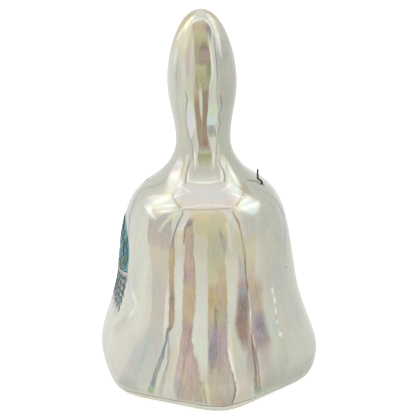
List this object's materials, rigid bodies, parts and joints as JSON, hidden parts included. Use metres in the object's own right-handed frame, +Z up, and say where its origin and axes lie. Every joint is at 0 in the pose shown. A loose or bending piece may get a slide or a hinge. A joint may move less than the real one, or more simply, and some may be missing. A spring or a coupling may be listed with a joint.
{
  "type": "ceramic hand bell",
  "caption": "Glazed ceramic hand bell with a bulb handle, a flared skirt with soft corners, and a wire-hung clapper ball that swings inside to ring it.",
  "frame": {"origin": "centre of the ring that the bell stands on, on the resting plane", "axes": "+Z up along the bell's axis; +X along the hanger wire, out of the shoulder hole on the picture's right; -Y is the side towards the camera"},
  "size_m": [0.082, 0.0812, 0.133],
  "materials": {
    "lustre_glaze": "pearly lustre over a gloss glaze",
    "dark_wire": "dark annealed wire",
    "plain_glaze": "plain gloss glaze"
  },
  "bodies": {
    "bell": {"bell_body": "lustre_glaze", "hanger_wire": "dark_wire"},
    "clapper": {"clapper_wire": "dark_wire"},
    "ball": {"clapper_ball": "plain_glaze"}
  },
  "joints": [
    {"name": "clapper_swing", "type": "hinge", "parent": "bell", "child": "clapper", "pos_m": [0, 0, 0.0677], "axis": [1, 0, 0], "range_deg": [-28.5, 28.5]},
    {"name": "ball_spin", "type": "hinge", "parent": "clapper", "child": "ball", "pos_m": [0, 0, 0.01943], "axis": [0, 0, 1], "continuous": true}
  ]
}
